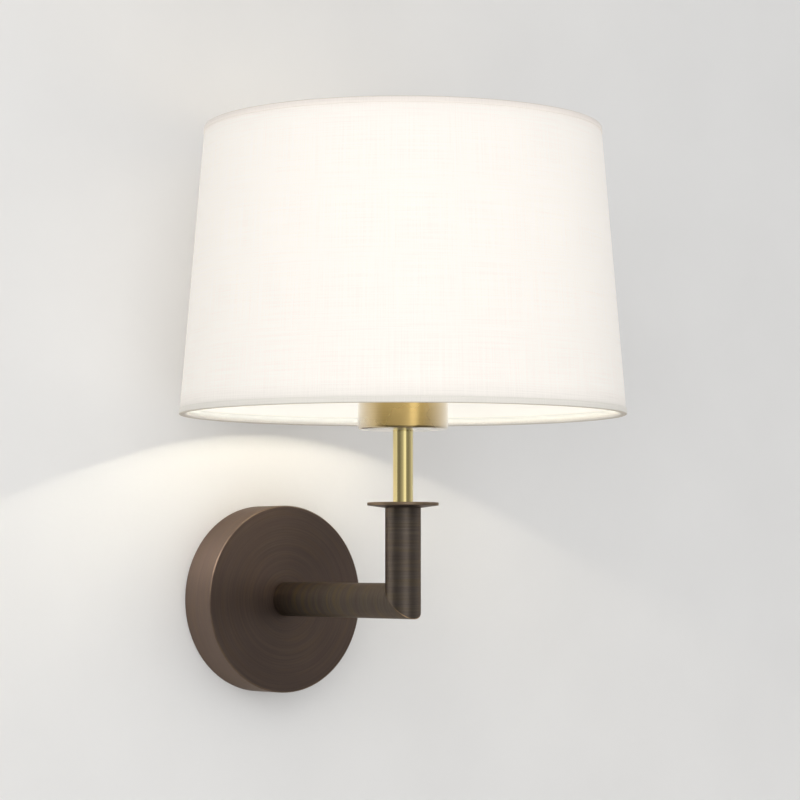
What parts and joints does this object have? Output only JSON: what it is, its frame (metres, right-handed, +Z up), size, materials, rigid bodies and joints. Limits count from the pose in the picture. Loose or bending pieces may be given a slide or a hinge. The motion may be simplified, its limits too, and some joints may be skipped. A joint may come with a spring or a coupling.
{
  "type": "fabric shade wall light",
  "caption": "Wall light with a round wall plate, a mitred round-tube arm, a drip disc, a thin stem with a lampholder cup, and a tapered fabric drum shade that lifts off and turns.",
  "frame": {"origin": "centre of the wall plate, on the plane of the wall", "axes": "+Y into the wall, so the lamp stands out to -Y; +Z up, along the stem and the shade's axis; +X along the wall"},
  "size_m": [0.251, 0.26, 0.3203],
  "materials": {
    "bronze": "dark bronze patina on steel, fine brushed, lacquered, worn lighter on the edges",
    "stem_brass": "polished, lacquered",
    "cup_brass": "satin, turned around its axis",
    "steel_zinc": "zinc plated",
    "terminal_brass": "plain turned",
    "tinned_copper": "tinned",
    "block_plastic": "natural polyamide",
    "holder_plastic": "black thermoset",
    "holder_ceramic": "glazed",
    "nickel_shell": "nickel plated",
    "live_insulation": "brown insulation",
    "neutral_insulation": "blue insulation",
    "earth_insulation": "green and yellow insulation",
    "collar_plastic": "black thermoset",
    "shade_fabric": "fine plain weave, off-white, translucent",
    "liner_film": "translucent lampshade film",
    "hem_fabric": "grosgrain-fine tape, beige",
    "white_wire": "white powder coat",
    "insulator_glass": "black cap glass",
    "bulb_white": "white",
    "opal": "opal, translucent",
    "led_ceramic": "white boards with yellow phosphor chips"
  },
  "bodies": {
    "fixture": {"wall_bracket": "steel_zinc", "cover_plate": "bronze", "plate_grub_screws": "bronze", "terminal_block": "block_plastic", "terminal_clamps": "terminal_brass", "terminal_screws": "steel_zinc", "block_screw": "steel_zinc", "earth_ring_terminal": "tinned_copper", "earth_screw": "terminal_brass", "arm_tube": "bronze", "riser_tube": "bronze", "arm_bush": "steel_zinc", "riser_bush": "steel_zinc", "arm_nipple": "steel_zinc", "arm_washer": "steel_zinc", "arm_lock_nut": "steel_zinc", "threaded_rod": "steel_zinc", "drip_disc": "bronze", "stem_sleeve": "stem_brass", "lampholder_cup": "cup_brass", "cup_nut": "steel_zinc", "holder_base": "holder_plastic", "holder_insert": "holder_ceramic", "holder_terminals": "terminal_brass", "holder_terminal_screws": "steel_zinc", "centre_contact": "terminal_brass", "screw_shell": "nickel_shell", "holder_body": "holder_plastic", "live_wire": "live_insulation", "neutral_wire": "neutral_insulation", "earth_lead": "earth_insulation"},
    "collar": {"shade_collar": "collar_plastic"},
    "shade": {"shade_skin": "shade_fabric", "shade_liner": "liner_film", "bottom_ring_wire": "white_wire", "top_ring_wire": "white_wire", "carrier_ring": "white_wire", "carrier_arms": "white_wire", "bottom_hem_tape": "hem_fabric", "top_hem_tape": "hem_fabric"},
    "bulb": {"bulb_contact": "terminal_brass", "bulb_insulator": "insulator_glass", "bulb_cap": "nickel_shell", "bulb_housing": "bulb_white", "bulb_diffuser": "opal", "bulb_led_board": "led_ceramic"}
  },
  "joints": [
    {"name": "shade_lift", "type": "slide", "parent": "fixture", "child": "collar", "axis": [0, 0, 1], "range_m": [0, 0.14]},
    {"name": "shade_turn", "type": "hinge", "parent": "collar", "child": "shade", "pos_m": [0, -0.1345, 0.132], "axis": [0, 0, 1], "continuous": true},
    {"name": "bulb_lift", "type": "slide", "parent": "fixture", "child": "bulb", "axis": [0, 0, 1], "range_m": [0, 0.14]}
  ]
}
